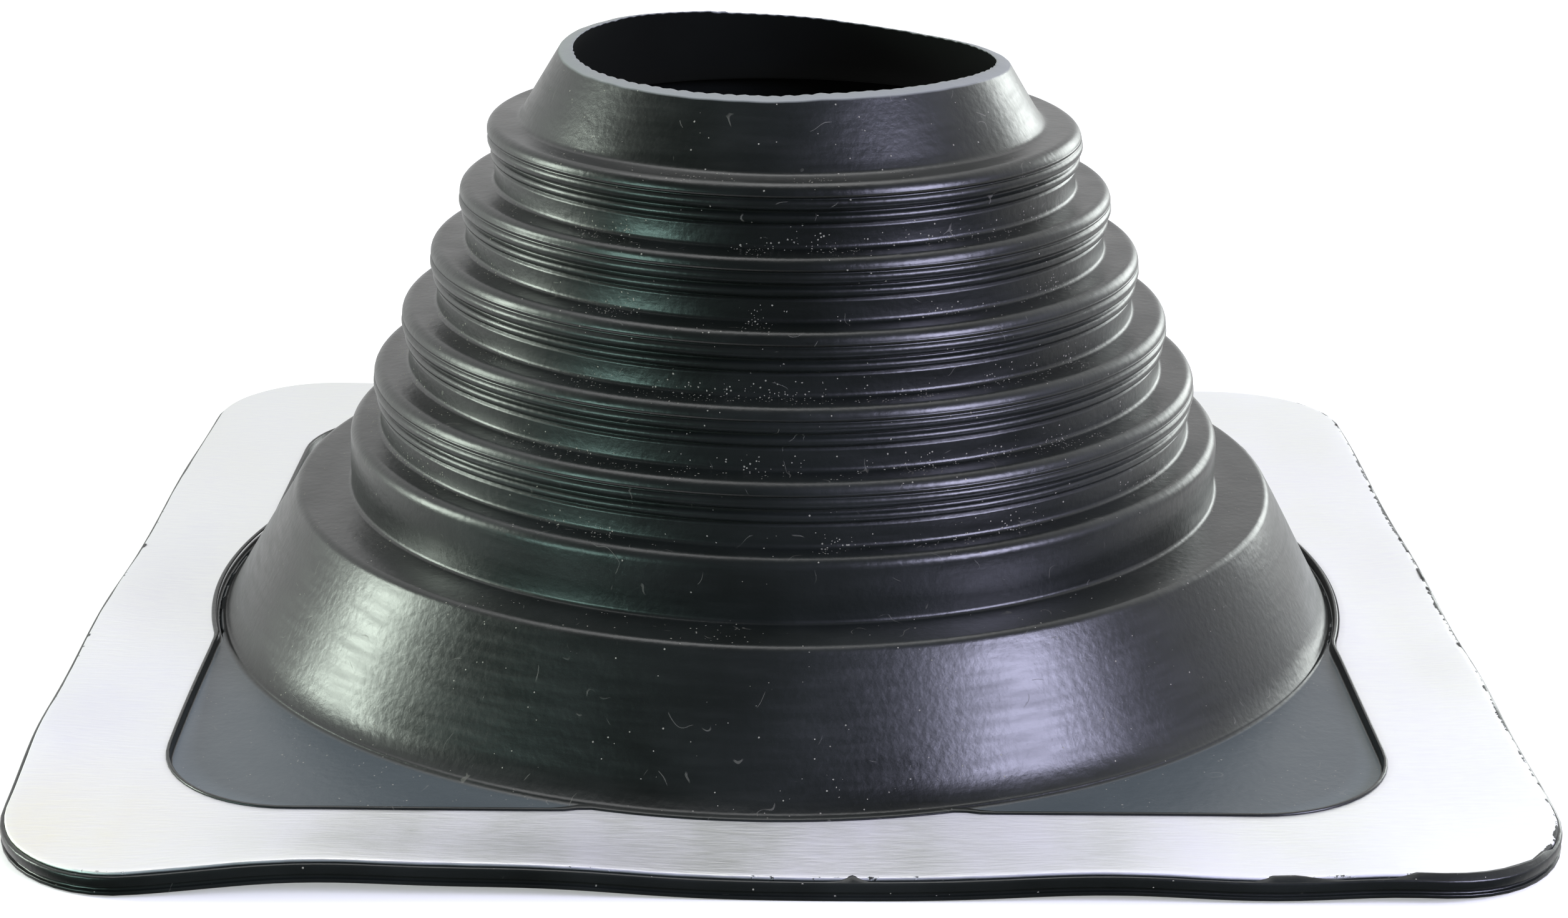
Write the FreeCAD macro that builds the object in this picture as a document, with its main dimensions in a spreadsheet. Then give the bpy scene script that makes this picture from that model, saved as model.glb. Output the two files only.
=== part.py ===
# Pipe flashing boot: a moulded rubber boot with stepped cut-off tiers on a square flange,
# and the soft aluminium frame that is bonded on top of the flange.
# Millimetres, +Z up along the axis of the boot, origin on that axis at the underside.
import FreeCAD, Part
import Sketcher
import math
import os
from FreeCAD import Placement, Rotation, Vector

# Every size that can be set by itself. Heights are measured from the underside, and a lean
# or flare is the radius gained for each millimetre of drop.
dimensions = {
    # top cone and its hand-trimmed mouth
    "mouth_radius": 42.6,
    "cone_wall": 2.5,
    "cone_height": 13.8,
    "cone_lean": 0.61,
    "trim_allowance": 5.0,
    "trim_fall": 0.2,
    "trim_tilt": 1.6,
    # stepped tiers, each wider than the one above it
    "wall": 2.7,
    "top_shelf_width": 7.06,
    "tier_pitch": 12.55,
    "tier_step": 6.2,
    "wall_recess": 1.2,
    "shelf_edge_round": 1.8,
    "plain_tier_height": 12.7,
    "plain_tier_step": 5.1,
    "plain_edge_bevel": 1.1,
    # mouldings on the side of a fluted tier, as depths below its shelf
    "dip_top": 2.0,
    "dip_bottom": 3.0,
    "dip_depth": 0.4,
    "groove_top": 5.1,
    "bead_top": 5.8,
    "bead_bottom": 7.8,
    "bead_rise": 0.65,
    "bead_slope": 0.5,
    "nick_bottom": 8.2,
    "nick_depth": 0.35,
    # conical skirt
    "skirt_shelf_width": 11.1,
    "skirt_height": 29.3,
    "skirt_flare": 0.55,
    "skirt_wall": 3.1,
    "shoulder_round": 2.0,
    # square flange and the frame on it
    "flange_thickness": 3.5,
    "pad_thickness": 2.7,
    "flange_corner_radius": 28.0,
    "window_tuck": 2.7,
    "window_corner_radius": 22.0,
    "bulge_clearance": 3.3,
    "frame_width": 25.7,
    "frame_thickness": 1.0,
    "frame_margin": 0.8,
    # ribs under the flange and the groove round its edge
    "rib_height": 1.2,
    "rib_width": 2.4,
    "rib_spacing": 6.0,
    "collar_rib_width": 4.0,
    "edge_groove_bottom": 0.8,
    "edge_groove_height": 0.9,
    "edge_groove_depth": 0.7,
}

fluted_tiers = 5
square_ribs = 3

doc = FreeCAD.newDocument("pipe_flashing_boot")
sheet = doc.addObject("Spreadsheet::Sheet", "Dimensions")
for row, (name, value) in enumerate(dimensions.items(), start=1):
    sheet.set(f"A{row}", name)
    sheet.set(f"B{row}", str(value))
    sheet.setAlias(f"B{row}", name)
doc.recompute()


class Size:
    """A length together with the sheet expression that drives it."""

    def __init__(self, value, text):
        self.value = value
        self.text = text

    def __add__(self, other):
        return Size(self.value + other.value, f"{self.text} + {other.text}")

    def __sub__(self, other):
        return Size(self.value - other.value, f"{self.text} - ({other.text})")

    def __mul__(self, other):
        factor = other if isinstance(other, Size) else Size(other, str(other))
        return Size(self.value * factor.value, f"({self.text}) * ({factor.text})")

    def __neg__(self):
        return Size(-self.value, f"-({self.text})")


def size(name):
    return Size(dimensions[name], f"Dimensions.{name}")


ground = Size(0.0, "0")


def new_body(label):
    body = doc.addObject("PartDesign::Body", label)
    body.Label = label
    return body


def origin_plane(body, role):
    return next(item for item in body.Origin.OriginFeatures if item.Role == role)


def new_sketch(body, name, role):
    sketch = body.newObject("Sketcher::SketchObject", name)
    sketch.AttachmentSupport = [(origin_plane(body, role), "")]
    sketch.MapMode = "FlatFace"
    return sketch


def level_sketch(body, name, height):
    """A horizontal sketch at a height above the underside."""
    sketch = new_sketch(body, name, "XY_Plane")
    sketch.setExpression("AttachmentOffset.Base.z", height.text)
    return sketch


def bind(sketch, kind, arguments, length):
    """Add a constraint whose value follows the sheet."""
    number = sketch.addConstraint(Sketcher.Constraint(kind, *arguments, length.value))
    sketch.setExpression(f"Constraints[{number}]", length.text)


def arc_between(start, end, radius, left):
    """The short arc from start to end, with its centre on the left or right of that way."""
    chord = end - start
    side = Vector(-chord.y, chord.x, 0).normalize() * (1 if left else -1)
    reach = math.sqrt(max(radius ** 2 - (chord.Length / 2) ** 2, 0.0))
    centre = (start + end) * 0.5 + side * reach
    circle = Part.Circle(centre, Vector(0, 0, 1), radius)
    first = math.atan2(start.y - centre.y, start.x - centre.x)
    last = math.atan2(end.y - centre.y, end.x - centre.x)
    if left:
        return Part.ArcOfCircle(circle, first, last)
    return Part.ArcOfCircle(circle, last, first)


def draw_outline(sketch, corners):
    """A closed outline. A corner (x, y) starts a straight line to the next corner, and
    a corner (x, y, radius, left) starts an arc."""
    points = [Vector(corner[0].value, corner[1].value, 0) for corner in corners]
    starts = []
    ends = []
    for index, corner in enumerate(corners):
        start = points[index]
        end = points[(index + 1) % len(points)]
        if len(corner) == 2:
            edge = sketch.addGeometry(Part.LineSegment(start, end), False)
            first, last = 1, 2
        else:
            radius, left = corner[2:]
            edge = sketch.addGeometry(arc_between(start, end, radius.value, left), False)
            first, last = (1, 2) if left else (2, 1)
            bind(sketch, "Radius", (edge,), radius)
        starts.append((edge, first))
        ends.append((edge, last))
    for index, start in enumerate(starts):
        sketch.addConstraint(Sketcher.Constraint("Coincident", *ends[index - 1], *start))
        bind(sketch, "DistanceX", (-1, 1, *start), corners[index][0])
        bind(sketch, "DistanceY", (-1, 1, *start), corners[index][1])


def draw_rounded_square(sketch, half, radius):
    """A square with rounded corners, centred on the axis."""
    flat = half - radius
    draw_outline(sketch, [
        (half, -flat), (half, flat, radius, True),
        (flat, half), (-flat, half, radius, True),
        (-half, flat), (-half, -flat, radius, True),
        (-flat, -half), (flat, -half, radius, True),
    ])


def draw_circle(sketch, radius):
    circle = Part.Circle(Vector(0, 0, 0), Vector(0, 0, 1), radius.value)
    edge = sketch.addGeometry(circle, False)
    sketch.addConstraint(Sketcher.Constraint("Coincident", edge, 3, -1, 1))
    bind(sketch, "Radius", (edge,), radius)


def raise_from(body, kind, name, sketch, length):
    """A pad, or a pocket, that goes straight up from its sketch by a length."""
    feature = body.newObject(f"PartDesign::{kind}", name)
    feature.Profile = sketch
    feature.Length = length.value
    feature.setExpression("Length", length.text)
    feature.Reversed = kind == "Pocket"
    return feature


def turn(body, kind, name, sketch):
    """A revolution, or a groove, a full turn about its sketch's own upright axis."""
    feature = body.newObject(f"PartDesign::{kind}", name)
    feature.Profile = sketch
    feature.ReferenceAxis = (sketch, ["V_Axis"])
    feature.Angle = 360.0
    return feature


def round_edges(body, name, base, radius, chosen):
    """Fillet the edges of a feature that the test picks out."""
    doc.recompute()
    names = [f"Edge{number}" for number, edge in enumerate(base.Shape.Edges, start=1)
             if chosen(edge)]
    if not names:
        raise ValueError(f"{name} found no edge to round")
    fillet = body.newObject("PartDesign::Fillet", name)
    fillet.Base = (base, names)
    fillet.Radius = radius.value
    fillet.setExpression("Radius", radius.text)
    return fillet


def is_ring(radius, height):
    """A test for the level circular edge about the axis at this radius and height."""
    def test(edge):
        box = edge.BoundBox
        level = abs(box.ZMin - height.value) < 0.01 and abs(box.ZMax - height.value) < 0.01
        return level and abs(box.XMax - radius.value) < 0.01
    return test


# Heights, from the skirt up to the mouth.
plain_shelf = size("skirt_height") + size("plain_tier_height")
shelf_heights = [plain_shelf + size("tier_pitch") * (fluted_tiers - tier)
                 for tier in range(fluted_tiers)]
top_shelf = shelf_heights[0]
mouth_height = top_shelf + size("cone_height")

# Radii, from the mouth out to the flange. The straight sides of the frame's window lie just
# inside the foot of the skirt, and its bulges lie just outside it.
cone_foot = size("mouth_radius") + size("cone_wall") + size("cone_height") * size("cone_lean")
tier_radii = [cone_foot + size("top_shelf_width") + size("tier_step") * tier
              for tier in range(fluted_tiers)]
plain_radius = tier_radii[-1] + size("plain_tier_step")
skirt_top = plain_radius + size("skirt_shelf_width")
skirt_rise = size("skirt_height") - size("pad_thickness")
skirt_foot = skirt_top + skirt_rise * size("skirt_flare")
skirt_base = skirt_foot + size("pad_thickness") * size("skirt_flare")
opening_radius = skirt_base - size("skirt_wall")
window_half = skirt_foot - size("window_tuck")
flange_half = window_half + size("frame_width") + size("frame_margin")


def tier_side(radius, shelf, foot):
    """The outside of a fluted tier: a rounded edge, a shallow dip, a sharp groove, a bead,
    a fine nick and the recessed wall down to the next shelf."""
    edge = size("shelf_edge_round")
    side = radius - size("wall_recess")
    dip_middle = (size("dip_top") + size("dip_bottom")) * 0.5
    return [
        (radius - edge, shelf, edge, False),
        (radius, shelf - edge),
        (radius, shelf - size("dip_top")),
        (radius - size("dip_depth"), shelf - dip_middle),
        (radius, shelf - size("dip_bottom")),
        (radius, shelf - size("groove_top")),
        (side, shelf - size("groove_top")),
        (side, shelf - size("bead_top")),
        (side + size("bead_rise"), shelf - size("bead_top") - size("bead_slope")),
        (side + size("bead_rise"), shelf - size("bead_bottom") + size("bead_slope")),
        (side - size("nick_depth"), shelf - size("bead_bottom")),
        (side, shelf - size("nick_bottom")),
        (side, foot),
    ]


def boot_section():
    """The wall of the boot: down the outside from the cone to the skirt, and back up inside."""
    rise = size("trim_allowance")
    wall = size("wall")
    edge = size("plain_edge_bevel")
    outer_top = size("mouth_radius") + size("cone_wall") - rise * size("cone_lean")
    corners = [(outer_top, mouth_height + rise), (cone_foot, top_shelf)]
    for radius, shelf, foot in zip(tier_radii, shelf_heights, shelf_heights[1:] + [plain_shelf]):
        corners += tier_side(radius, shelf, foot)

    ceiling = size("skirt_height") - wall
    corners += [
        (plain_radius - edge, plain_shelf),
        (plain_radius, plain_shelf - edge),
        (plain_radius, size("skirt_height")),
        (skirt_top, size("skirt_height")),
        (skirt_base, ground),
        (opening_radius, ground),
        (opening_radius - ceiling * size("skirt_flare"), ceiling),
        (plain_radius - wall, ceiling),
        (plain_radius - wall, plain_shelf - wall),
    ]

    ceiling = plain_shelf - wall
    for radius, shelf in zip(reversed(tier_radii), reversed(shelf_heights)):
        inside = radius - size("wall_recess") - wall
        corners += [(inside, ceiling), (inside, shelf - wall)]
        ceiling = shelf - wall
    cone_inside = size("mouth_radius") + (size("cone_height") + wall) * size("cone_lean")
    inner_top = size("mouth_radius") - rise * size("cone_lean")
    corners += [(cone_inside, ceiling), (inner_top, mouth_height + rise)]
    return corners


def trim_section():
    """What the knife takes off the cone: all above a shallow fall from the mouth outwards.
    Heights are counted from the middle of the mouth, where this sketch has its origin."""
    reach = size("trim_allowance") * 2
    inner = size("mouth_radius") - reach
    outer = size("mouth_radius") + reach
    fall = reach * size("trim_fall")
    return [(inner, fall), (outer, -fall), (outer, reach), (inner, reach)]


def draw_window(sketch):
    """The cut-out of the frame: a rounded square with a round bulge in each side, which
    keeps clear of the foot of the skirt."""
    half = window_half
    corner = size("window_corner_radius")
    bulge = skirt_foot + size("bulge_clearance")
    flat = half - corner
    reach = math.sqrt(bulge.value ** 2 - half.value ** 2)
    meet = Size(reach, f"sqrt(({bulge.text}) ^ 2 - ({half.text}) ^ 2)")
    side = [(half, -flat), (half, -meet, bulge, True), (half, meet), (half, flat, corner, True)]
    outline = []
    for quarter in range(4):
        for x, y, *arc in side:
            for _ in range(quarter):
                x, y = -y, x
            outline.append((x, y, *arc))
    draw_outline(sketch, outline)


def draw_channels(sketch):
    """The channels between the ribs under the flange. The ribs follow its outline inwards,
    and the last channel runs up to the round collar rib about the opening."""
    corner = size("flange_corner_radius")
    for rib in range(square_ribs):
        outer = size("rib_spacing") * rib + size("rib_width")
        draw_rounded_square(sketch, flange_half - outer, corner - outer)
        if rib + 1 < square_ribs:
            inner = size("rib_spacing") * (rib + 1)
            draw_rounded_square(sketch, flange_half - inner, corner - inner)
    draw_circle(sketch, opening_radius + size("collar_rib_width"))


def make_boot():
    boot = new_body("rubber_boot")
    half = flange_half
    corner = size("flange_corner_radius")

    # the stepped shell, and the knife cut that opens the cone
    sketch = new_sketch(boot, "boot_section", "XZ_Plane")
    draw_outline(sketch, boot_section())
    turn(boot, "Revolution", "boot_shell", sketch)
    sketch = new_sketch(boot, "trim_section", "XZ_Plane")
    tilt = Rotation(Vector(0, 0, 1), -dimensions["trim_tilt"])
    sketch.AttachmentOffset = Placement(Vector(0, 0, 0), tilt)
    sketch.setExpression("AttachmentOffset.Base.y", mouth_height.text)
    sketch.setExpression("AttachmentOffset.Rotation.Angle", "-Dimensions.trim_tilt")
    draw_outline(sketch, trim_section())
    trim = turn(boot, "Groove", "trimmed_mouth", sketch)
    on_shoulder = is_ring(skirt_top, size("skirt_height"))
    round_edges(boot, "skirt_shoulder", trim, size("shoulder_round"), on_shoulder)

    # the flange, which meets the skirt inside its wall, and the raised seat of the frame
    sketch = new_sketch(boot, "flange_outline", "XY_Plane")
    draw_rounded_square(sketch, half, corner)
    draw_circle(sketch, opening_radius + size("skirt_wall") * 0.3)
    raise_from(boot, "Pad", "flange", sketch, size("pad_thickness"))
    sketch = level_sketch(boot, "frame_seat_outline", size("pad_thickness"))
    draw_rounded_square(sketch, half, corner)
    draw_window(sketch)
    raise_from(boot, "Pad", "frame_seat", sketch, size("flange_thickness") - size("pad_thickness"))

    # the ribs left between the channels of the underside, and the groove round the edge
    sketch = new_sketch(boot, "channel_outline", "XY_Plane")
    draw_channels(sketch)
    raise_from(boot, "Pocket", "rib_channels", sketch, size("rib_height"))
    sketch = level_sketch(boot, "edge_groove_outline", size("edge_groove_bottom"))
    depth = size("edge_groove_depth")
    draw_rounded_square(sketch, half + depth, corner + depth)
    draw_rounded_square(sketch, half - depth, corner - depth)
    raise_from(boot, "Pocket", "edge_groove", sketch, size("edge_groove_height"))
    return boot


def make_frame():
    """The soft aluminium sheet on the seat, with the same window as the seat."""
    frame = new_body("aluminium_flange")
    half = window_half + size("frame_width")
    sketch = level_sketch(frame, "sheet_outline", size("flange_thickness"))
    draw_rounded_square(sketch, half, size("flange_corner_radius") - size("frame_margin"))
    draw_window(sketch)
    raise_from(frame, "Pad", "sheet", sketch, size("frame_thickness"))
    return frame


bodies = [make_boot(), make_frame()]
doc.recompute()
for item in doc.Objects:
    if "Invalid" in item.State or "Error" in item.State:
        raise RuntimeError(f"{item.Name} did not build: {item.State}")
for body in bodies:
    if body.Shape.isNull() or not body.Shape.isValid() or len(body.Shape.Solids) != 1:
        raise RuntimeError(f"{body.Label} is not one valid solid")

os.makedirs("parts", exist_ok=True)
for body in bodies:
    body.Shape.exportStep(f"parts/{body.Label}.step")
    box = body.Shape.BoundBox
    print(body.Label, round(body.Shape.Volume), "mm3,", round(box.XLength, 2), round(box.YLength, 2),
          round(box.ZMin, 3), round(box.ZMax, 3))
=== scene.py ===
import math

import bpy
import bmesh
from mathutils import Matrix, Vector, noise


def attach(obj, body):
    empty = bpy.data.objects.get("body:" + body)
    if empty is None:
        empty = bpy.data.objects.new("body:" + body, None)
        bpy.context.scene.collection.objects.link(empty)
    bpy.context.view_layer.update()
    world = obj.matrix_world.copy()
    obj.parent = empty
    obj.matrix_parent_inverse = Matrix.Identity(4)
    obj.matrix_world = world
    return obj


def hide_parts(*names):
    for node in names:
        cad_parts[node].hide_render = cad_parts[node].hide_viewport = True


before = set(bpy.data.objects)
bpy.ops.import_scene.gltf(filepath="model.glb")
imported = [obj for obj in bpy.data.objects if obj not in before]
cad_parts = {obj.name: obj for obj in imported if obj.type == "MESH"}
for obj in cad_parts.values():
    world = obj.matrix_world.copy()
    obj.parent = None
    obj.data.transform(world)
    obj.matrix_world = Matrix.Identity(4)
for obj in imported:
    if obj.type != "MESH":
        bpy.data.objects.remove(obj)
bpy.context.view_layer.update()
mm = 0.001


# Shapes are worked out in millimetres, by the angle round the axis, and mm makes them metres.

wander = {"seedStep": (7.3, 3.1, 5.7), "gain": 1.6}


def blendIn(low, high, value):
    share = min(max((value - low) / (high - low), 0.0), 1.0)
    return share * share * (3 - 2 * share)


def roughLine(angle, count, seed):  # a wandering value round the axis, about -1 to 1
    spot = Vector((math.cos(angle), math.sin(angle), 0)) * count / (2 * math.pi)
    offset = Vector([seed * step for step in wander["seedStep"]])
    return noise.noise(spot + offset) * wander["gain"]


def nearness(x, y, bumpX, bumpY, reach):  # 1 at the bump, fading out over the reach
    return math.exp(-((x - bumpX) ** 2 + (y - bumpY) ** 2) / (2 * reach * reach))


# What the rubber flange and the sheet share: outlines, lifts and the shift of the limp flange.

flangeShape = {
    "half": 140.012,            # half the width of the rubber
    "corner": 28.0,
    "seat": 3.5,                # height of the seat under the sheet
    "pad": 2.7,                 # height of the bare pads inside the window
    "sheetThickness": 0.65,
    "windowHalf": 113.51,
    "windowCorner": 27.0,
    "windowBulge": 118.3,       # radius of the round bulge in each side of the window
    "skirtFoot": 116.7,
    "shift": (-1.3, -2.7),      # the limp flange sits a little off the axis
    "shiftFrom": -0.5,          # the shift begins and is whole this far out from the skirt's foot
    "shiftWhole": 3.5,
    "stretch": 0.009,           # it is also this much longer from front to back
    "pulled": (-140, -140, 3.9, -1.6, 38),  # one corner is drawn in: x, y, shift in x and y, reach
    "liftFrom": 1.5,            # how far out from the skirt's foot the flange may leave the floor
    "liftPower": 1.6,           # more than 1 keeps the lifts near the edge
    # dents and lifts of the soft sheet: x, y, height, reach
    "lifts": [(-80, -140, 2.9, 19), (-40, -140, 1.7, 16), (58, -140, 1.5, 16), (108, -140, 1.5, 13),
              (-140, -82, 1.4, 13), (-140, -20, 1.5, 18), (-140, 66, 1.3, 20), (-128, 132, 0.8, 22),
              (140, -104, 0.9, 16), (140, -52, 1.3, 15), (140, 12, 1.1, 18), (138, 92, 1.2, 22),
              (-50, 140, 1.0, 30), (50, 140, 1.8, 26)],
}


def squareRadius(angle, half, corner):
    turned = abs((angle + math.pi / 4) % (math.pi / 2) - math.pi / 4)
    along, across = math.cos(turned), math.sin(turned)
    flat = half - corner
    if half * across <= flat * along:
        return half / along
    reach = flat * (along + across)
    return reach + math.sqrt(reach * reach - 2 * flat * flat + corner * corner)


def ringLine(radius):
    return lambda angle: radius


def windowLine(grow):
    half, corner = flangeShape["windowHalf"] + grow, flangeShape["windowCorner"] + grow
    bulge = flangeShape["windowBulge"] + grow
    return lambda angle: max(squareRadius(angle, half, corner), bulge)


def edgeLine(inset):
    half, corner = flangeShape["half"] - inset, flangeShape["corner"] - inset
    return lambda angle: squareRadius(angle, half, corner)


def lineBetween(first, second, share):
    return lambda angle: first(angle) * (1 - share) + second(angle) * share


flangeEdge = edgeLine(0.0)


def flangeLift(angle, radius):  # how far the limp flange stands off the floor here
    foot = flangeShape["skirtFoot"] + flangeShape["liftFrom"]
    if radius <= foot:
        return 0.0
    x, y = radius * math.cos(angle), radius * math.sin(angle)
    lift = sum(height * nearness(x, y, bumpX, bumpY, reach)
               for bumpX, bumpY, height, reach in flangeShape["lifts"])
    return lift * blendIn(foot, flangeEdge(angle), radius) ** flangeShape["liftPower"]


def flangeShift(angle, radius):  # sideways, growing from the foot of the skirt to the window
    shape = flangeShape
    foot = shape["skirtFoot"]
    share = blendIn(foot + shape["shiftFrom"], foot + shape["shiftWhole"], radius)
    x, y = radius * math.cos(angle), radius * math.sin(angle)
    cornerX, cornerY, pullX, pullY, reach = shape["pulled"]
    pull = nearness(x, y, cornerX, cornerY, reach)
    return Vector((shape["shift"][0] + pullX * pull,
                   shape["shift"][1] + y * shape["stretch"] + pullY * pull, 0.0)) * share


# Lofting: a loop of points is extruded from row to row. A row has a line, which gives its radius at
# each angle, its height, and marks from 0 to 1 that the materials read.

weldGap = 1e-6  # metres


def roundCorner(before, here, after, radius, steps):
    toBefore, toAfter = (before - here).normalized(), (after - here).normalized()
    half = toBefore.angle(toAfter) / 2
    centre = here + (toBefore + toAfter).normalized() * radius / math.sin(half)
    start = here + toBefore * radius / math.tan(half) - centre
    end = here + toAfter * radius / math.tan(half) - centre
    turn = start.angle_signed(end)
    return [centre + Matrix.Rotation(-turn * step / steps, 2) @ start for step in range(steps + 1)]


def makeRows(line, corners, **marks):
    # a corner is (out, up), or (out, up, rounding, steps); line turns "out" into an outline
    spots = []
    for number, (out, up, *rounding) in enumerate(corners):
        here = Vector((out, up))
        if rounding:
            before, after = Vector(corners[number - 1][:2]), Vector(corners[number + 1][:2])
            spots += roundCorner(before, here, after, *rounding)
        else:
            spots.append(here)
    return [{"line": line(spot.x), "up": spot.y, **marks} for spot in spots]


def fillBetween(first, second, count):  # extra rows across a wide span
    return [{**first, "line": lineBetween(first["line"], second["line"], step / (count + 1)),
             "up": first["up"] + (second["up"] - first["up"]) * step / (count + 1)}
            for step in range(1, count + 1)]


def profileAt(out, up, profile):  # a profile moved to its place on the section
    return [(out + away, up + rise, *rounding) for away, rise, *rounding in profile]


def loftRows(name, rows, stations, placePoint, markNames):
    shell = bmesh.new()
    bmesh.ops.create_circle(shell, cap_ends=False, segments=stations, radius=1.0)
    angleOf = shell.verts.layers.float.new("angle")
    marks = [shell.verts.layers.float.new(mark) for mark in markNames]
    for vert in shell.verts:
        vert[angleOf] = math.atan2(vert.co.y, vert.co.x)
    loop = list(shell.edges)
    for number, row in enumerate(rows + rows[:1]):
        if number:
            grown = bmesh.ops.extrude_edge_only(shell, edges=loop)["geom"]
            loop = [item for item in grown if isinstance(item, bmesh.types.BMEdge)]
        for vert in {vert for edge in loop for vert in edge.verts}:
            vert.co = placePoint(vert[angleOf], row) * mm
            for mark, markName in zip(marks, markNames):
                vert[mark] = row.get(markName, 0.0)
    bmesh.ops.remove_doubles(shell, verts=shell.verts, dist=weldGap)
    bmesh.ops.recalc_face_normals(shell, faces=shell.faces)
    for face in shell.faces:
        face.smooth = True
    mesh = bpy.data.meshes.new(name)
    shell.to_mesh(mesh)
    shell.free()
    piece = bpy.data.objects.new(name, mesh)
    bpy.context.scene.collection.objects.link(piece)
    print(name, len(rows), "rows", len(mesh.polygons), "faces")
    return piece


# The rubber boot. In a profile, "out" is from a radius, "up" is from a shelf or a floor, and two more
# numbers are a rounding and its steps.

bootShape = {
    "stations": 320,            # points round each loop
    "mouthHeight": 118.55,
    "mouthRadius": 42.6,
    "coneWall": 2.5,
    "coneLean": 0.61,           # how far the cone spreads for each millimetre down
    "coneSteps": (9.6, 7.2, 4.8, 2.4),  # heights of its rows over the first shelf
    "coneFoot": (1.8, 4),
    "coneShift": -0.9,
    "coneShiftZone": (100, 108),        # heights where that shift begins and is whole
    "shelves": [104.75, 92.2, 79.65, 67.1, 54.55],
    "radii": [60.58, 66.78, 72.98, 79.18, 85.38],
    "recess": 1.2,              # the wall under a lip stands back by this
    "lipProfile": [(-3.8, -0.1), (-0.06, 0.0, 2.3, 8), (-0.1, -2.4), (-0.5, -2.6), (-0.6, -2.78),
                   (-0.42, -2.98), (-0.08, -3.25), (0.06, -3.7), (0.06, -4.15), (-0.1, -4.65),
                   (-0.5, -5.0)],
    "beadProfile": [(-0.25, -5.15), (-0.25, -5.7), (0.35, -5.9), (0.66, -6.3), (0.74, -6.75),
                    (0.62, -7.25), (0.2, -7.6), (-0.42, -7.8), (-0.4, -8.0), (0.0, -8.2), (0.02, -8.6)],
    "tierFoot": (0.9, 3),
    "lipDust": 0.8,             # the corner mark behind a lip, and on the last rows of a tier
    "footDust": 1.0,
    "footDustRows": 4,
    "plainShelf": 42.0,
    "plainRadius": 90.48,
    "plainProfile": [(-6.0, 0.0), (0.0, 0.0, 2.3, 6), (0.1, -4.0), (0.1, -8.0)],
    "skirtShelf": 29.3,
    "skirtTop": 101.58,
    "skirtProfile": [(-6.0, 0.05), (0.0, 0.0, 2.0, 6)],
    "skirtSteps": (0.2, 0.4, 0.6, 0.8),
    "footBead": [(-0.42, 0.75), (-0.05, 0.6), (0.18, 0.35), (0.3, 0.0), (0.9, 0.0)],
    "footShift": -0.9,
    "footShiftZone": (2, 29),           # heights where that shift is whole and has gone
    "footShiftEdge": (117.2, 120.5),    # the same for the radius
    "wall": 2.7,
    "softness": 0.16,           # moulded rubber is never quite round, above this zone of heights
    "softZone": (6, 30),
    "softBand": 14,             # height of the bands that wander together
    "softOut": (6, 1),          # count and first seed of the wander outwards, and of the one upwards
    "softUp": (5, 11),
    "softUpShare": 0.8,
    "tiersTilt": 0.006,         # the soft tiers settle down to the right
    "tiltZone": (5, 60),
}

rimShape = {
    "fall": 0.2,                # the knife cut falls outwards by this for each millimetre
    "tilt": 0.024,              # and towards the right
    "inner": 0.12,              # where the cut begins, out from the inside of the wall
    "shares": (0.3, 0.6, 0.93),
    "shoulder": (0.08, 0.35),   # how far below the cut the outside of the cone begins
    "below": (1.5, 0.3, 0.06),  # and the last rows of the inside
    "biteReach": 0.2,           # the knife's marks show on the inner edge, up to this far out
    "biteCount": 44,
    "biteWander": (3.0, 9, 4),  # size, count and seed of the wander of the knife's marks
    "biteDepth": 0.24,
    "biteLift": 0.05,
    "biteZone": (-0.6, 0.5),
    "biteWhere": (8, 5, 0.3),   # count, seed and offset of the line that picks where they show
    "drop": 0.4,                # the cut end is pulled out of flat
    "pull": 0.95,
    "wavers": [(0.16, 14, 2), (0.07, 60, 3)],   # size, count, seed
}

brimShape = {
    "padEdge": -0.8,            # where the flat pad ends, out from the window's line
    "padRows": 4,
    "stepFoot": [(-0.55, 0.0), (-0.28, 0.2)],
    # the lip over the sheet's inner edge, up from the top of the sheet
    "lipProfile": [(-0.26, 0.25), (-0.1, 0.42), (0.3, 0.42), (0.48, 0.26), (0.5, 0.02), (0.06, -0.08)],
    "seatLine": (0.06, 0.7),
    "seatEnd": 0.95,            # in from the edge of the rubber
    "seatRows": 4,
    # torn flash along the edge: in from the edge, rise, reach over the sheet
    "flash": [(0.72, 1.0, 0.75), (0.6, 1.05, 0.25)],
    "flashHeight": 0.85,
    "flashZone": (0.3, 0.75),
    "flashWander": [(1.0, 90, 6), (0.5, 300, 8)],   # size, count, seed
    "flashSide": (0.4, 0.1, -0.3),      # more of it on the right: size, angle, offset
    "edgeTurn": 1.5,
    "edgeRound": (0.45, 3),
    "groove": [(0.0, 1.7, 0.15, 2), (0.7, 1.7, 0.15, 1), (0.7, 0.8, 0.15, 1), (0.0, 0.8, 0.15, 2)],
    "ribRound": (0.3, 3),
    "ribWidth": 2.4,
    "ribHeight": 1.2,
    "ribSpacing": 6.0,
    "ribCount": 3,
}

insideShape = {
    "opening": 114.6,           # radius of the hole through the underside
    "collarWidth": 4.0,         # the collar rib round it
    "collarOuter": (0.3, 2),
    "collarInner": (0.6, 2),
    "skirtRound": (1.0, 1),
    "stepRound": (0.8, 1),
    "neck": [(7.2, -12.0), (2.4, -4.0)],    # from the mouth
}


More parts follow.
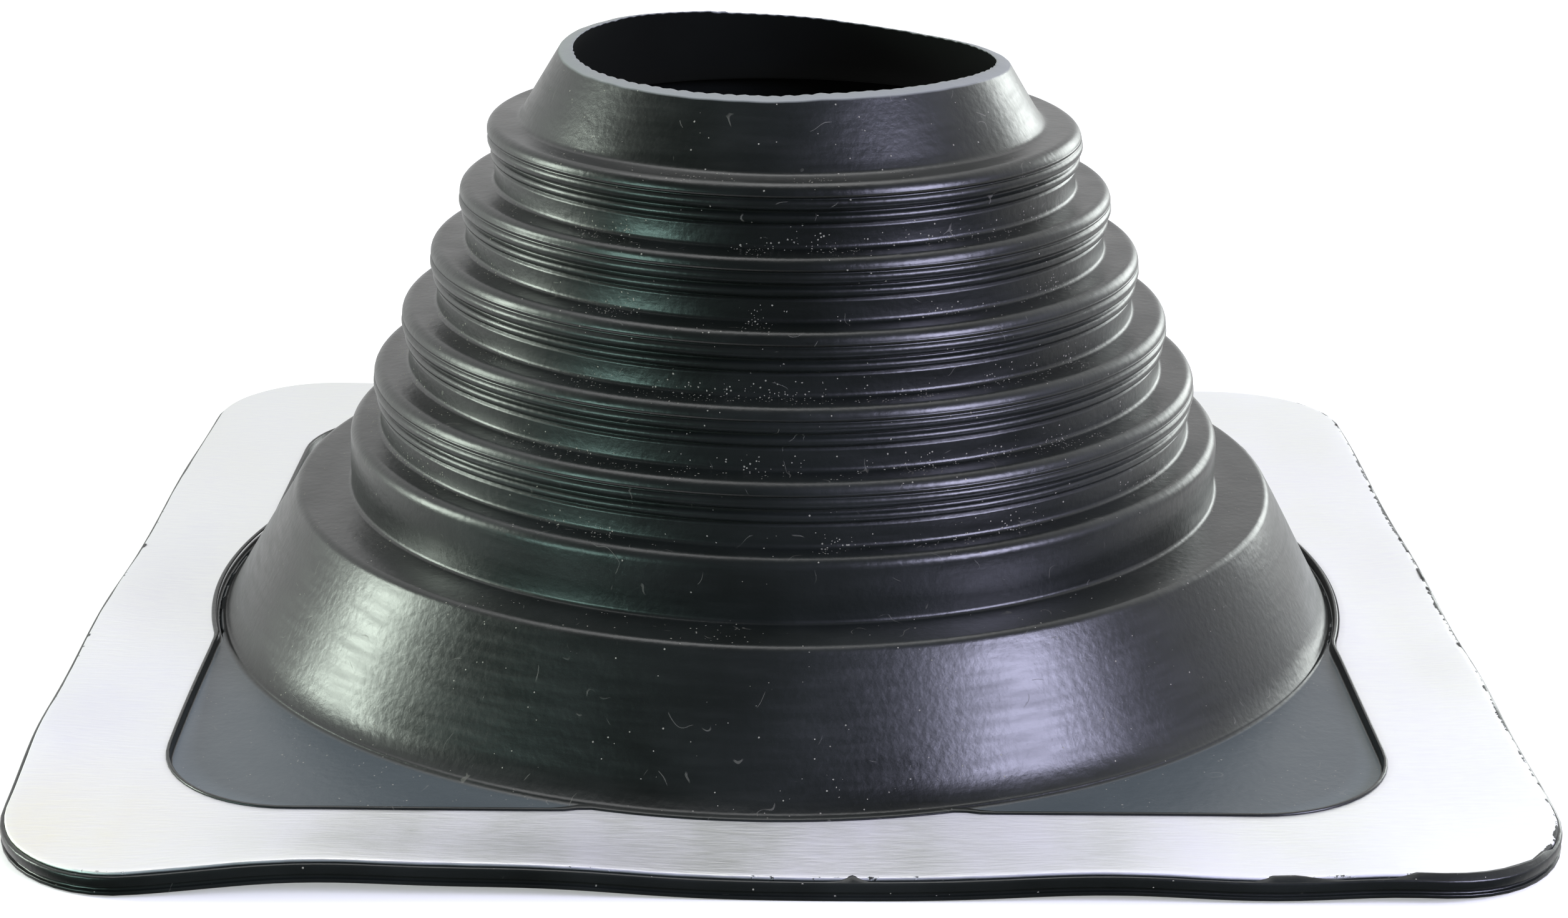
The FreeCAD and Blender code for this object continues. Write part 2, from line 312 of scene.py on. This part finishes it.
def rimPoint(angle, wall, below):  # a point of the knife cut, or a bit below it along the cone
    shape, rim = bootShape, rimShape
    tilt = rim["tilt"] * math.cos(angle)
    drop = ((rim["fall"] * wall + tilt * (shape["mouthRadius"] + wall))
            / (1 - (rim["fall"] + tilt) * shape["coneLean"]))
    if wall < rim["biteReach"]:
        size, count, seed = rim["biteWander"]
        bite = abs(math.sin(angle * rim["biteCount"] + size * roughLine(angle, count, seed)))
        count, seed, offset = rim["biteWhere"]
        shown = blendIn(*rim["biteZone"], roughLine(angle, count, seed) + offset)
        drop += rim["biteDepth"] * (1 - bite) * shown - rim["biteLift"]
    drop += rim["drop"] + rim["pull"] * math.sin(2 * angle)
    drop += sum(size * roughLine(angle, count, seed) for size, count, seed in rim["wavers"])
    drop += below
    return shape["mouthRadius"] + wall + shape["coneLean"] * drop, shape["mouthHeight"] - drop


def tornFlash(angle):  # 0 where the edge is clean, 1 where the flash stands up
    shape = brimShape
    side, turn, offset = shape["flashSide"]
    rough = sum(size * roughLine(angle, count, seed) for size, count, seed in shape["flashWander"])
    return blendIn(*shape["flashZone"], rough + side * math.cos(angle - turn) + offset)


def placeBoot(angle, row):
    shape = bootShape
    if "rim" in row:
        radius, up = rimPoint(angle, *row["rim"])
    else:
        radius, up = row["line"](angle), row["up"]
    soft = blendIn(*shape["softZone"], up) * shape["softness"]
    band = round(up / shape["softBand"])
    outCount, outSeed = shape["softOut"]
    upCount, upSeed = shape["softUp"]
    radius += soft * roughLine(angle, outCount, outSeed + band)
    up += soft * shape["softUpShare"] * roughLine(angle, upCount, upSeed + band)
    across = radius * math.cos(angle)
    up -= blendIn(*shape["tiltZone"], up) * shape["tiersTilt"] * across
    shift = flangeShift(angle, radius)
    shift.x += shape["coneShift"] * blendIn(*shape["coneShiftZone"], up)
    shift.x += (shape["footShift"] * (1 - blendIn(*shape["footShiftZone"], up))
                * (1 - blendIn(*shape["footShiftEdge"], radius)))
    up += flangeLift(angle, radius)
    if "flash" in row:
        torn = tornFlash(angle)
        up += row["flash"] * torn * brimShape["flashHeight"]
        radius -= row["over"] * torn
    return Vector((radius * math.cos(angle), radius * math.sin(angle), up)) + shift


def coneRows():  # the knife cut, then down the cone to the first shelf
    shape, rim = bootShape, rimShape
    wall, lean, shelf = shape["coneWall"], shape["coneLean"], shape["shelves"][0]
    foot = shape["mouthRadius"] + wall + (shape["mouthHeight"] - shelf) * lean
    rows = [{"rim": (rim["inner"], 0.0), "trimmed": 1.0}]
    rows += [{"rim": (share * wall, 0.0), "trimmed": 1.0} for share in rim["shares"]]
    rows += [{"rim": (wall, rim["shoulder"][0]), "trimmed": 0.6}, {"rim": (wall, rim["shoulder"][1])}]
    rows += makeRows(ringLine, [(foot - lean * up, shelf + up) for up in shape["coneSteps"]])
    return rows + makeRows(ringLine, [(foot - lean, shelf + 1), (foot, shelf, *shape["coneFoot"]),
                                      (shape["radii"][0], shelf)])[1:-1]


def tierRows(radius, shelf, foot, footRadius):
    shape = bootShape
    side = radius - shape["recess"]
    rows = makeRows(ringLine, [*profileAt(radius, shelf, shape["lipProfile"]),
                               *profileAt(side, shelf, shape["beadProfile"]),
                               (side, foot, *shape["tierFoot"]),
                               *profileAt(footRadius, foot, shape["lipProfile"][:1])])[:-1]
    rows[0]["corner"] = shape["lipDust"]
    for row in rows[-shape["footDustRows"]:]:
        row["corner"] = shape["footDust"]
    return rows


def skirtRows():  # the plain tier, the skirt's shelf and its side, down to the pads
    shape = bootShape
    plain, shelf, skirt = shape["plainRadius"], shape["skirtShelf"], shape["skirtTop"]
    pad, foot = flangeShape["pad"], flangeShape["skirtFoot"]
    side = [(skirt + (foot - skirt) * share, shelf + (pad - shelf) * share) for share in shape["skirtSteps"]]
    rows = makeRows(ringLine, [*profileAt(plain, shape["plainShelf"], shape["plainProfile"]),
                               (plain, shelf, *shape["tierFoot"]),
                               *profileAt(skirt, shelf, shape["skirtProfile"]), *side,
                               *profileAt(foot, pad, shape["footBead"])])[1:]
    # the foot of the skirt takes half of the pads' pale colour, a painted reflection
    rows[-1]["pad"] = 0.5
    return rows


def flangeRows(last):  # the pads, the step and lip at the window, the seat, and the edge with its groove
    shape = brimShape
    pad, seat = flangeShape["pad"], flangeShape["seat"]
    # the pad mark gives these rows the pads' pale slate colour, a painted reflection
    padEdge = makeRows(windowLine, [(shape["padEdge"], pad)], pad=1.0)[0]
    rows = fillBetween(last, padEdge, shape["padRows"]) + [padEdge]
    rows += makeRows(windowLine, [*profileAt(0.0, pad, shape["stepFoot"]),
                                  *profileAt(0.0, seat + flangeShape["sheetThickness"], shape["lipProfile"]),
                                  *[(out, seat) for out in shape["seatLine"]]])
    seatEnd = makeRows(edgeLine, [(shape["seatEnd"], seat)])[0]
    rows += fillBetween(rows[-1], seatEnd, shape["seatRows"]) + [seatEnd]
    for inset, rise, over in shape["flash"]:
        rows += makeRows(edgeLine, [(inset, seat)], flash=rise, over=over)
    ribs = [(0.0, 0.0, *shape["ribRound"])]
    for number in range(shape["ribCount"]):
        start = number * shape["ribSpacing"]
        ribs += [(start, shape["ribHeight"]), (start, 0.0)] if number else []
        ribs += [(start + shape["ribWidth"], 0.0), (start + shape["ribWidth"], shape["ribHeight"])]
    return rows + makeRows(edgeLine, [(shape["edgeTurn"], seat), (0.0, seat, *shape["edgeRound"]),
                                      *shape["groove"], *ribs])[1:]


def insideRows():  # the collar rib round the opening, then up the stepped inside of the wall
    shape, inside = bootShape, insideShape
    wall, mouth, top = shape["wall"], shape["mouthRadius"], shape["mouthHeight"]
    opening, collar = inside["opening"], inside["opening"] + inside["collarWidth"]
    ceiling = shape["skirtShelf"] - wall
    slope = (flangeShape["skirtFoot"] - shape["skirtTop"]) / (shape["skirtShelf"] - flangeShape["pad"])
    plain = shape["plainRadius"] - wall
    corners = [(collar, brimShape["ribHeight"]), (collar, 0.0, *inside["collarOuter"]),
               (opening, 0.0, *inside["collarInner"]),
               (opening - ceiling * slope, ceiling, *inside["skirtRound"]),
               (plain, ceiling, *inside["skirtRound"])]
    ceiling = shape["plainShelf"] - wall
    corners.append((plain, ceiling, *inside["stepRound"]))
    for radius, shelf in zip(reversed(shape["radii"]), reversed(shape["shelves"])):
        side = radius - shape["recess"] - wall
        corners.append((side, ceiling, *inside["stepRound"]))
        ceiling = shelf - wall
        corners.append((side, ceiling, *inside["stepRound"]))
    corners.append((mouth + (top - ceiling) * shape["coneLean"], ceiling, *inside["stepRound"]))
    corners += profileAt(mouth, top, inside["neck"])
    rows = makeRows(ringLine, corners, inner=1.0)
    first, second, third = rimShape["below"]
    return rows + [{"rim": (0.0, first), "inner": 1.0}, {"rim": (0.0, second), "inner": 1.0},
                   {"rim": (0.0, third), "trimmed": 1.0}]


def bootRows():
    radii = bootShape["radii"] + [bootShape["plainRadius"]]
    shelves = bootShape["shelves"] + [bootShape["plainShelf"]]
    rows = coneRows()
    for number in range(len(radii) - 1):
        rows += tierRows(radii[number], shelves[number], shelves[number + 1], radii[number + 1])
    rows += skirtRows()
    return rows + flangeRows(rows[-1]) + insideRows()


rubberBoot = loftRows("rubberBoot", bootRows(), bootShape["stations"], placeBoot,
                      ["trimmed", "pad", "corner", "inner"])
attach(rubberBoot, "root")
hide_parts("rubber_boot")


# The aluminium sheet.

sheetShape = {
    "stations": 480,
    "inset": 0.8,               # bare rubber outside the sheet
    "windowGap": 0.12,          # from the step in the rubber
    "seatGap": 0.01,
    "lowRound": (0.15, 1),
    "windowRound": (0.3, 3),
    "edgeRound": (0.35, 3),
    "windowRim": 2.0,           # how far the first full rows stand from the window and the edge
    "edgeRim": 1.5,
    "fillRows": 9,
    "nibbles": [(0.12, 40, 21), (0.07, 160, 22)],   # the ragged edge: size, count, seed
}


def placeSheet(angle, row):
    radius, up = row["line"](angle), row["up"]
    radius += row.get("nibble", 0.0) * sum(size * roughLine(angle, count, seed)
                                           for size, count, seed in sheetShape["nibbles"])
    up += flangeLift(angle, radius)
    return Vector((radius * math.cos(angle), radius * math.sin(angle), up)) + flangeShift(angle, radius)


def sheetRows():
    shape = sheetShape
    low = flangeShape["seat"] + shape["seatGap"]
    high = flangeShape["seat"] + flangeShape["sheetThickness"]
    gap, rim = shape["windowGap"], shape["windowRim"]
    inset, edgeRim = shape["inset"], shape["inset"] + shape["edgeRim"]
    inner = makeRows(windowLine, [(rim, low), (gap, low, *shape["lowRound"]),
                                  (gap, high, *shape["windowRound"]), (rim, high)])
    outer = makeRows(edgeLine, [(edgeRim, high), (inset, high, *shape["edgeRound"]),
                                (inset, low, *shape["lowRound"]), (edgeRim, low)], nibble=1.0, edgeward=1.0)
    outer[0]["edgeward"] = outer[-1]["edgeward"] = 0.0
    return (inner + fillBetween(inner[-1], outer[0], shape["fillRows"])
            + outer + fillBetween(outer[-1], inner[0], shape["fillRows"]))


aluminiumFlange = loftRows("aluminiumFlange", sheetRows(), sheetShape["stations"], placeSheet, ["edgeward"])
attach(aluminiumFlange, "root")
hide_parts("aluminium_flange")


# Shader groups, and short ways to add nodes.

def newGroup(name, inputs, outputs):
    group = bpy.data.node_groups.new(name, "ShaderNodeTree")
    for label, start in inputs:
        kind = "NodeSocketVector" if start is None else "NodeSocketFloat"
        socket = group.interface.new_socket(name=label, in_out="INPUT", socket_type=kind)
        if start is not None:
            socket.default_value = start
    for label in outputs:
        group.interface.new_socket(name=label, in_out="OUTPUT", socket_type="NodeSocketFloat")
    return group, group.nodes.new("NodeGroupInput"), group.nodes.new("NodeGroupOutput")


def setSocket(tree, socket, source):
    if isinstance(source, bpy.types.NodeSocket):
        tree.links.new(source, socket)
    else:
        socket.default_value = source


def addNode(tree, kind, inputs=None, **settings):
    node = tree.nodes.new(kind)
    for name, value in settings.items():
        setattr(node, name, value)
    for label, source in (inputs or {}).items():
        setSocket(tree, node.inputs[label], source)
    return node


def addRange(tree, value, low, high, toLow=0.0, toHigh=1.0):
    return addNode(tree, "ShaderNodeMapRange", {"Value": value, "From Min": low, "From Max": high,
                                                "To Min": toLow, "To Max": toHigh}).outputs["Result"]


def addMath(tree, operation, first, second=0.0):
    return addNode(tree, "ShaderNodeMath", {0: first, 1: second}, operation=operation).outputs[0]


def addSum(tree, *parts):  # a part is a value, or a value and its weight
    total = None
    for part in parts:
        value = addMath(tree, "MULTIPLY", *part) if isinstance(part, tuple) else part
        total = value if total is None else addMath(tree, "ADD", total, value)
    return total


def addMix(tree, share, first, second):
    node = addNode(tree, "ShaderNodeMix", {"Factor": share}, data_type="RGBA")
    for number, colour in ((6, first), (7, second)):  # the sockets A and B for colours
        setSocket(tree, node.inputs[number], (*colour, 1.0) if isinstance(colour, tuple) else colour)
    return node.outputs[2]


def addNoise(tree, place, size, detail, **more):
    return addNode(tree, "ShaderNodeTexNoise", {"Vector": place, "Scale": size, "Detail": detail,
                                                **more}).outputs["Fac"]


def addStretch(tree, place, scale):
    return addNode(tree, "ShaderNodeMapping", {"Vector": place, "Scale": scale}).outputs[0]


def addMark(tree, name):
    return addNode(tree, "ShaderNodeAttribute", attribute_name=name).outputs["Fac"]


def addBump(tree, shader, height):
    bump = addNode(tree, "ShaderNodeBump", {"Height": height, "Strength": 1.0, "Distance": mm})
    tree.links.new(bump.outputs["Normal"], shader.inputs["Normal"])


grainSizes = (0.1, 0.34)  # the least and the greatest, as a share of a cell


def buildDust():  # fine specks: a grain in each cell, kept by chance, thicker where Amount is high
    group, start, end = newGroup("dustSpecks", [("Place", None), ("Fineness", 900.0), ("Amount", 0.3)],
                                 ["Mask"])
    grains = addNode(group, "ShaderNodeTexVoronoi", {"Vector": start.outputs["Place"],
                                                     "Scale": start.outputs["Fineness"]})
    parts = addNode(group, "ShaderNodeSeparateColor", {"Color": grains.outputs["Color"]})
    kept = addMath(group, "LESS_THAN", parts.outputs["Red"], start.outputs["Amount"])
    grainSize = addRange(group, parts.outputs["Green"], 0.0, 1.0, *grainSizes)
    near = addMath(group, "LESS_THAN", grains.outputs["Distance"], grainSize)
    group.links.new(addMath(group, "MULTIPLY", kept, near), end.inputs["Mask"])
    return group


def buildPatches():
    group, start, end = newGroup("softPatches", [("Place", None), ("Size", 12.0), ("Detail", 4.0),
                                                 ("Low", 0.4), ("High", 0.6)], ["Mask"])
    cloud = addNoise(group, start.outputs["Place"], start.outputs["Size"], start.outputs["Detail"])
    mask = addRange(group, cloud, start.outputs["Low"], start.outputs["High"])
    group.links.new(mask, end.inputs["Mask"])
    return group


dustSpecks = buildDust()
softPatches = buildPatches()


def placeGroup(tree, group, **values):
    return addNode(tree, "ShaderNodeGroup", values, node_tree=group).outputs[0]


def newMaterial(name, **values):
    material = bpy.data.materials.new(name)
    material.use_nodes = True
    shader = material.node_tree.nodes["Principled BSDF"]
    for label, value in values.items():
        shader.inputs[label].default_value = value
    return material, material.node_tree, shader


def objectPlace(tree):
    return tree.nodes.new("ShaderNodeTexCoord").outputs["Object"]


# Rubber.

rubberLook = {
    "black": (0.0036, 0.0048, 0.0041),
    "bloomed": (0.0092, 0.0112, 0.0108),    # where the surface has dulled a little
    # painted shade: the inside colour is darker than the outer black, for the shade inside the mouth
    "inside": (0.0016, 0.0022, 0.0018),
    "cut": (0.20, 0.213, 0.212),
    "dust": (0.46, 0.44, 0.37),
    # painted reflection: the bare rubber pads are coloured pale slate, standing in for the light their flat
    # tops reflect
    "pad": (0.086, 0.111, 0.123),
    "bloom": {"Size": 28.0, "Detail": 6.0, "Low": 0.38, "High": 0.7},
    "flow": {"Size": 75.0, "Detail": 6.0, "Low": 0.4, "High": 0.75},
    "flowScale": (1.0, 1.0, 9.0),           # drawn out round the rings
    "lint": {"Size": 90.0, "Detail": 5.0, "Low": 0.45, "High": 0.7},
    "scatter": {"Size": 210.0, "Detail": 1.0, "Low": 0.62, "High": 0.67},
    "upward": (0.3, 0.95),                  # how far a face must look up to hold dust
    "cornerDust": 0.85,
    "upwardDust": 0.13,
    "looseDust": 0.006,
    "dustFineness": 1800.0,
    "dustShare": 0.42,
    "fibreNoise": (120.0, 1.0),             # size and detail; fibres follow its middle value
    "fibreWidth": 0.0045,
    "fibreShare": 0.24,
    "bloomGloss": 0.6,
    "roughness": (0.29, 0.42),
    "unevenTop": 1.6,
    "cutRoughness": 0.25,
    "dustRoughness": 0.4,
    "grain": (620.0, 5.0),
    "ripple": (45.0, 2.0),
    "grainHeight": 0.07,                    # heights in millimetres
    "rippleHeight": 0.16,
    "flowHeight": 0.012,
    "dustHeight": 0.03,
    "insideRoughness": 0.75,
    "insideSpecular": 0.12,
}


def buildRubber():
    look = rubberLook
    material, tree, shader = newMaterial("mouldedRubber")
    place = objectPlace(tree)
    trimmed, pad, corner = addMark(tree, "trimmed"), addMark(tree, "pad"), addMark(tree, "corner")
    facing = tree.nodes.new("ShaderNodeTexCoord").outputs["Normal"]
    facingUp = addNode(tree, "ShaderNodeSeparateXYZ", {0: facing}).outputs["Z"]
    upward = addRange(tree, facingUp, *look["upward"])
    bloom = placeGroup(tree, softPatches, Place=place, **look["bloom"])
    flow = placeGroup(tree, softPatches, Place=addStretch(tree, place, look["flowScale"]), **look["flow"])

    # dust lies in the corners of the tiers and on faces that look up, and fibres cling anywhere
    lint = placeGroup(tree, softPatches, Place=place, **look["lint"])
    settled = addSum(tree, (corner, look["cornerDust"]), (upward, look["upwardDust"]))
    amount = addSum(tree, (settled, lint), look["looseDust"])
    specks = placeGroup(tree, dustSpecks, Place=place, Fineness=look["dustFineness"], Amount=amount)
    threads = addMath(tree, "SUBTRACT", addNoise(tree, place, *look["fibreNoise"]), 0.5)
    thin = addMath(tree, "LESS_THAN", addMath(tree, "ABSOLUTE", threads), look["fibreWidth"])
    scattered = placeGroup(tree, softPatches, Place=place, **look["scatter"])
    fibres = addMath(tree, "MULTIPLY", addMath(tree, "MULTIPLY", thin, scattered), look["fibreShare"])
    specks = addMath(tree, "MAXIMUM", specks, fibres)

    colour = addMix(tree, bloom, look["black"], look["bloomed"])
    # painted reflection: the pale slate of the pads, wherever the pad mark is set
    colour = addMix(tree, pad, colour, look["pad"])
    colour = addMix(tree, trimmed, colour, look["cut"])
    colour = addMix(tree, addMath(tree, "MULTIPLY", specks, look["dustShare"]), colour, look["dust"])
    tree.links.new(colour, shader.inputs["Base Color"])

    uneven = addSum(tree, (bloom, look["bloomGloss"]), flow)
    gloss = addSum(tree, addRange(tree, uneven, 0.0, look["unevenTop"], *look["roughness"]),
                   (trimmed, look["cutRoughness"]), (specks, look["dustRoughness"]))
    tree.links.new(gloss, shader.inputs["Roughness"])

    grain, ripple = addNoise(tree, place, *look["grain"]), addNoise(tree, place, *look["ripple"])
    addBump(tree, shader, addSum(tree, (grain, look["grainHeight"]), (ripple, look["rippleHeight"]),
                                 (flow, look["flowHeight"]), (specks, look["dustHeight"])))
    return material


def buildShadedInside():  # the matt inside of the moulding, its colour darker than the outer black as painted shade
    look = rubberLook
    material, tree, shader = newMaterial("rubberInsidePaintedShade", Roughness=look["insideRoughness"])
    shader.inputs["Specular IOR Level"].default_value = look["insideSpecular"]
    bloom = placeGroup(tree, softPatches, Place=objectPlace(tree), **look["bloom"])
    tree.links.new(addMix(tree, bloom, look["inside"], look["black"]), shader.inputs["Base Color"])
    return material


rubberBoot.data.materials.append(buildRubber())
rubberBoot.data.materials.append(buildShadedInside())
# faces marked inner take the inside material, whose darker colour is painted shade
shadedInsideMarks = rubberBoot.data.attributes["inner"].data
for face in rubberBoot.data.polygons:
    face.material_index = int(all(shadedInsideMarks[corner].value > 0.5 for corner in face.vertices))


# Aluminium.

sheetLook = {
    "bright": (0.72, 0.73, 0.72),
    # dull grey with a lavender tint, painted in for the lavender light the sheet reflects
    "dullAndPaintedLavender": (0.665, 0.65, 0.73),
    "stain": (0.70, 0.66, 0.47),
    "smear": (0.006, 0.007, 0.007),         # rubber squeezed onto the edge of the sheet
    "brushed": {"Size": 1300.0, "Detail": 4.0, "Low": 0.3, "High": 0.7},
    "brushedScale": (0.16, 1.0, 1.0),
    "mottle": {"Size": 36.0, "Detail": 7.0, "Low": 0.38, "High": 0.66},
    "mottleScale": (1.0, 0.3, 1.0),
    "paintedDimFront": (-0.095, -0.125),          # painted reflection: the front strip is coloured dimmer and lavender, most in the middle, for the dim lavender light it reflects; metres
    "paintedDimMiddle": (0.10, 0.03),
    "paintedDimLeast": 0.35,
    "stainPlace": (-0.127, -0.131, 0.004),
    "stainReach": 0.04,
    "stainShare": 0.5,
    "brushedShare": 0.3,
    "ragged": {"size": 330.0, "detail": 5.0, "Roughness": 0.7},
    "patches": {"Size": 26.0, "Detail": 2.0, "Low": 0.45, "High": 0.62},
    "smearEdge": 0.42,
    "smearPatches": 0.12,
    "smearRight": (0.11, 0.136, -0.1, 0.05),    # more of it at the right edge; from, to, least, most
    "smearFrom": (1.0, 1.03),
    "brushedGloss": 0.5,
    "unevenTop": 1.5,
    "roughness": (0.46, 0.68),
    "brushedHeight": 0.035,                 # heights in millimetres
    "mottleHeight": 0.10,
    "smearHeight": 0.12,
}


def buildAluminium():
    look = sheetLook
    material, tree, shader = newMaterial("softAluminium")
    place = objectPlace(tree)
    apart = addNode(tree, "ShaderNodeSeparateXYZ", {0: place})
    brushed = placeGroup(tree, softPatches, Place=addStretch(tree, place, look["brushedScale"]),
                         **look["brushed"])
    mottle = placeGroup(tree, softPatches, Place=addStretch(tree, place, look["mottleScale"]),
                        **look["mottle"])

    front = addRange(tree, apart.outputs["Y"], *look["paintedDimFront"])
    middle = addRange(tree, addMath(tree, "ABSOLUTE", apart.outputs["X"]), *look["paintedDimMiddle"])
    paintedDimStrip = addRange(tree, addMath(tree, "MULTIPLY", front, middle), 0.0, 1.0, look["paintedDimLeast"], 1.0)
    mottleAndPaintedDim = addMath(tree, "MULTIPLY", mottle, paintedDimStrip)
    away = addNode(tree, "ShaderNodeVectorMath", {0: place, 1: look["stainPlace"]},
                   operation="DISTANCE").outputs["Value"]
    stained = addMath(tree, "MULTIPLY", addRange(tree, away, look["stainReach"], 0.0, 0.0,
                                                 look["stainShare"]), mottle)
    ragged = addNoise(tree, place, **look["ragged"])
    patches = placeGroup(tree, softPatches, Place=place, **look["patches"])
    reach = addSum(tree, (addMark(tree, "edgeward"), look["smearEdge"]), ragged,
                   (patches, look["smearPatches"]),
                   addRange(tree, apart.outputs["X"], *look["smearRight"]))
    smear = addRange(tree, reach, *look["smearFrom"])

    # painted reflection: the front middle turns dim lavender, laid over the real mottle
    colour = addMix(tree, mottleAndPaintedDim, look["bright"], look["dullAndPaintedLavender"])
    colour = addMix(tree, stained, colour, look["stain"])
    # the real brushed grain darkens toward the same painted lavender grey
    colour = addMix(tree, addMath(tree, "MULTIPLY", brushed, look["brushedShare"]), colour, look["dullAndPaintedLavender"])
    colour = addMix(tree, smear, colour, look["smear"])
    tree.links.new(colour, shader.inputs["Base Color"])
    tree.links.new(addMath(tree, "SUBTRACT", 1.0, smear), shader.inputs["Metallic"])
    uneven = addSum(tree, (brushed, look["brushedGloss"]), mottle)
    tree.links.new(addRange(tree, uneven, 0.0, look["unevenTop"], *look["roughness"]),
                   shader.inputs["Roughness"])
    addBump(tree, shader, addSum(tree, (brushed, look["brushedHeight"]), (mottle, look["mottleHeight"]),
                                 (smear, look["smearHeight"])))
    return material


aluminiumFlange.data.materials.append(buildAluminium())
print("materials done")


# Floor, lights and camera.

studio = {
    "floorHalf": 12.0,
    "floorGrey": 0.86,
    "floorLift": 0.30,          # what camera rays gain, so that the floor reads as white
    "roomLight": 0.55,          # the even light of the room
    "roomFront": 0.05,          # how bright the room behind the camera looks in gloss
    "roomBack": 1.0,
    "roomTurn": (-0.25, 0.35),  # the direction's Y where the one begins and ends to become the other
    "lamps": [
        # name, place, aim, width, height, watts, colour
        ("leftBox", (-1.22, 0.12, 0.34), (0, 0, 0.03), 0.24, 0.55, 12.0, (0.88, 1.0, 0.88)),
        ("lowBox", (-0.85, -0.68, 0.13), (0, 0, 0.05), 0.3, 0.22, 3.2, (0.62, 1.0, 0.90)),
        ("rightBox", (0.90, -0.70, 0.56), (0, 0, 0.03), 0.46, 0.46, 19.0, (0.72, 0.72, 1.0)),
        ("rearBox", (1.15, 1.35, 0.42), (0, 0, 0.03), 0.8, 0.7, 11.0, (0.94, 1.0, 0.97)),
        ("topBox", (-0.1, 0.35, 1.3), (0, 0, 0.05), 1.2, 0.7, 6.0, (1.0, 1.0, 1.0)),
    ],
    "cameraPlace": (0.0, -0.60313, 0.23292),
    "cameraDip": 0.3202,        # looking down by, in radians
    "cameraRoll": 0.00797,
    "lens": 68.86,
    "sensor": 36.0,
    "shift": (0.0007, -0.0054),
    "clipStart": 0.01,
}
white = (1.0, 1.0, 1.0, 1.0)


def addFloor():
    shell = bmesh.new()
    bmesh.ops.create_grid(shell, x_segments=1, y_segments=1, size=studio["floorHalf"])
    mesh = bpy.data.meshes.new("paleFloor")
    shell.to_mesh(mesh)
    shell.free()
    floor = bpy.data.objects.new("paleFloor", mesh)
    bpy.context.scene.collection.objects.link(floor)
    material, tree, shader = newMaterial("palePaper", Roughness=1.0)
    grey = studio["floorGrey"]
    shader.inputs["Base Color"].default_value = (grey, grey, grey, 1.0)
    shader.inputs["Specular IOR Level"].default_value = 0.0
    shader.inputs["Emission Color"].default_value = white
    rays = tree.nodes.new("ShaderNodeLightPath")
    lift = addMath(tree, "MULTIPLY", rays.outputs["Is Camera Ray"], studio["floorLift"])
    tree.links.new(lift, shader.inputs["Emission Strength"])
    mesh.materials.append(material)
    floor.visible_glossy = False


def addWorld():
    world = bpy.data.worlds.new("studioWorld")
    bpy.context.scene.world = world
    world.use_nodes = True
    tree = world.node_tree
    backdrop = tree.nodes["Background"]
    backdrop.inputs["Color"].default_value = white
    rays = tree.nodes.new("ShaderNodeLightPath")
    toward = tree.nodes.new("ShaderNodeTexCoord").outputs["Generated"]
    depth = addNode(tree, "ShaderNodeSeparateXYZ", {0: toward}).outputs["Y"]
    gloss = addRange(tree, depth, *studio["roomTurn"], studio["roomFront"], studio["roomBack"])
    level = addNode(tree, "ShaderNodeMix", {0: rays.outputs["Is Glossy Ray"], 2: studio["roomLight"],
                                            3: gloss}).outputs[0]
    level = addMath(tree, "MAXIMUM", level, rays.outputs["Is Camera Ray"])
    tree.links.new(level, backdrop.inputs["Strength"])


def addLamps():
    for name, spot, aim, width, height, watts, colour in studio["lamps"]:
        light = bpy.data.lights.new(name, "AREA")
        light.shape = "RECTANGLE"
        light.size, light.size_y = width, height
        light.energy = watts
        light.color = colour
        lamp = bpy.data.objects.new(name, light)
        bpy.context.scene.collection.objects.link(lamp)
        lamp.location = spot
        lamp.rotation_euler = (Vector(aim) - Vector(spot)).to_track_quat("-Z", "Y").to_euler()
        lamp.visible_camera = False


def addCamera():
    view = bpy.data.cameras.new("studioCamera")
    view.sensor_width = studio["sensor"]
    view.lens = studio["lens"]
    view.shift_x, view.shift_y = studio["shift"]
    view.clip_start = studio["clipStart"]
    camera = bpy.data.objects.new("studioCamera", view)
    bpy.context.scene.collection.objects.link(camera)
    camera.location = studio["cameraPlace"]
    dip = studio["cameraDip"]
    facing = Vector((0.0, math.cos(dip), -math.sin(dip)))
    turn = facing.to_track_quat("-Z", "Y").to_matrix()
    camera.rotation_euler = (turn @ Matrix.Rotation(studio["cameraRoll"], 3, "Z")).to_euler()
    bpy.context.scene.camera = camera


addFloor()
addWorld()
addLamps()
addCamera()
bpy.context.scene.view_settings.view_transform = "Standard"
print("stage done")
